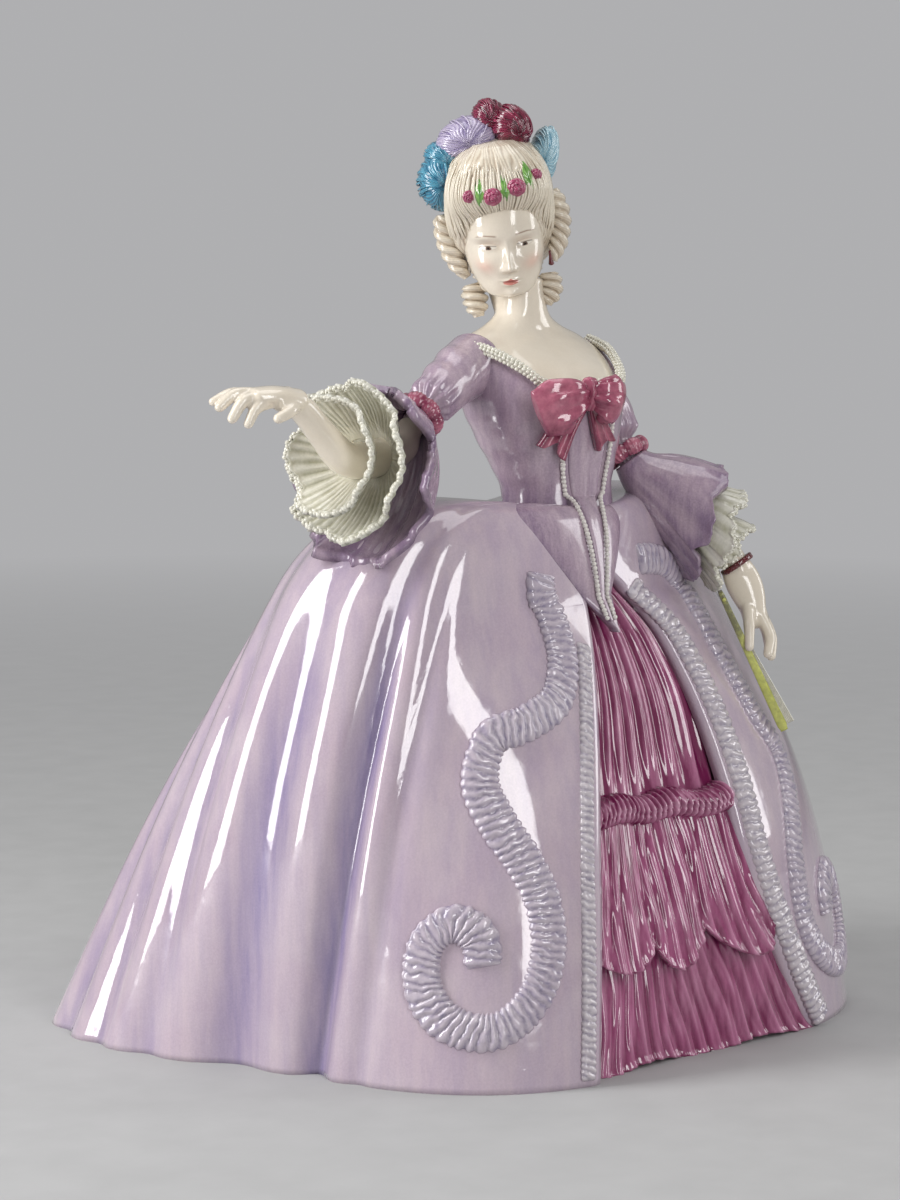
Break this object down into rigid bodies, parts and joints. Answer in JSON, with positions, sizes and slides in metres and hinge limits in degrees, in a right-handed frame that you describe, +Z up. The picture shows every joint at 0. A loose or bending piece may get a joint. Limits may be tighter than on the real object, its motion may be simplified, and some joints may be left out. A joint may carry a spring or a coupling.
{
  "type": "porcelain lady figurine",
  "caption": "Standing lady in a wide hooped court gown with ruched ribbon scrolls, one arm held out, a closed fan in the other hand; hollow, glazed and painted.",
  "frame": {"origin": "middle of the figurine's bounding box in X and Y, on the plane it stands on (underside of the hem at z = 0)", "axes": "+Z up; -Y is the front of the gown, with its opening; +X is the figure's left"},
  "size_m": [0.2126, 0.1922, 0.2532],
  "materials": {
    "bodice_glaze": "gloss, mauve",
    "gown_glaze": "high gloss, lilac-pink lustre",
    "petticoat_glaze": "high gloss, magenta-pink",
    "white_relief_glaze": "high gloss, white with a lilac tint",
    "scroll_glaze": "high gloss, pale lilac",
    "hair_glaze": "gloss, pale cream grey",
    "skin_glaze": "gloss, warm cream-white",
    "lace_glaze": "gloss, greenish cream",
    "dark_red_enamel": "gloss, dark red",
    "lilac_plume_glaze": "gloss, lilac",
    "crimson_plume_glaze": "gloss, crimson",
    "blue_plume_glaze": "gloss, turquoise blue",
    "pale_blue_plume_glaze": "gloss, pale blue",
    "rose_enamel": "gloss, rose",
    "leaf_enamel": "gloss, leaf green",
    "bow_glaze": "gloss, deep rose",
    "fan_enamel": "gloss, yellow-green"
  },
  "bodies": {
    "root": {"bodice": "bodice_glaze", "gown_skirt": "gown_glaze", "petticoat_panel": "petticoat_glaze", "petticoat_lower_flounce": "petticoat_glaze", "petticoat_upper_flounce": "petticoat_glaze", "petticoat_heading": "petticoat_glaze", "right_front_trim": "white_relief_glaze", "left_front_trim": "white_relief_glaze", "right_scroll_ruching": "scroll_glaze", "left_scroll_ruching": "scroll_glaze", "stomacher": "bodice_glaze", "stomacher_beads_right": "white_relief_glaze", "stomacher_beads_left": "white_relief_glaze", "coiffure": "hair_glaze", "shoulders_and_neck": "skin_glaze", "right_sleeve": "bodice_glaze", "left_sleeve": "bodice_glaze", "neckline_lace": "lace_glaze", "head": "skin_glaze", "chignon": "hair_glaze", "right_side_plait": "hair_glaze", "right_ringlet": "hair_glaze", "left_side_plait": "hair_glaze", "left_ringlet": "hair_glaze", "left_earring": "dark_red_enamel", "plume_lilac": "lilac_plume_glaze", "plume_crimson": "crimson_plume_glaze", "plume_blue": "blue_plume_glaze", "plume_pale_blue": "pale_blue_plume_glaze", "garland_rose_1": "rose_enamel", "garland_rose_2": "rose_enamel", "garland_rose_3": "rose_enamel", "garland_rose_4": "rose_enamel", "garland_leaf_1": "leaf_enamel", "garland_leaf_2": "leaf_enamel", "garland_leaf_3": "leaf_enamel", "bow_knot": "bow_glaze", "bow_right_loop": "bow_glaze", "bow_left_loop": "bow_glaze", "bow_right_tail": "bow_glaze", "bow_left_tail": "bow_glaze", "right_sleeve_band": "bow_glaze", "right_cuff": "bodice_glaze", "right_forearm_and_hand": "skin_glaze", "right_lace_outer": "lace_glaze", "right_lace_inner": "lace_glaze", "left_sleeve_band": "bow_glaze", "left_cuff": "bodice_glaze", "left_forearm_and_hand": "skin_glaze", "left_lace_outer": "lace_glaze", "left_lace_inner": "lace_glaze", "left_bracelet": "dark_red_enamel", "fan_sticks": "fan_enamel", "fan_leaf": "lace_glaze"}
  },
  "joints": []
}
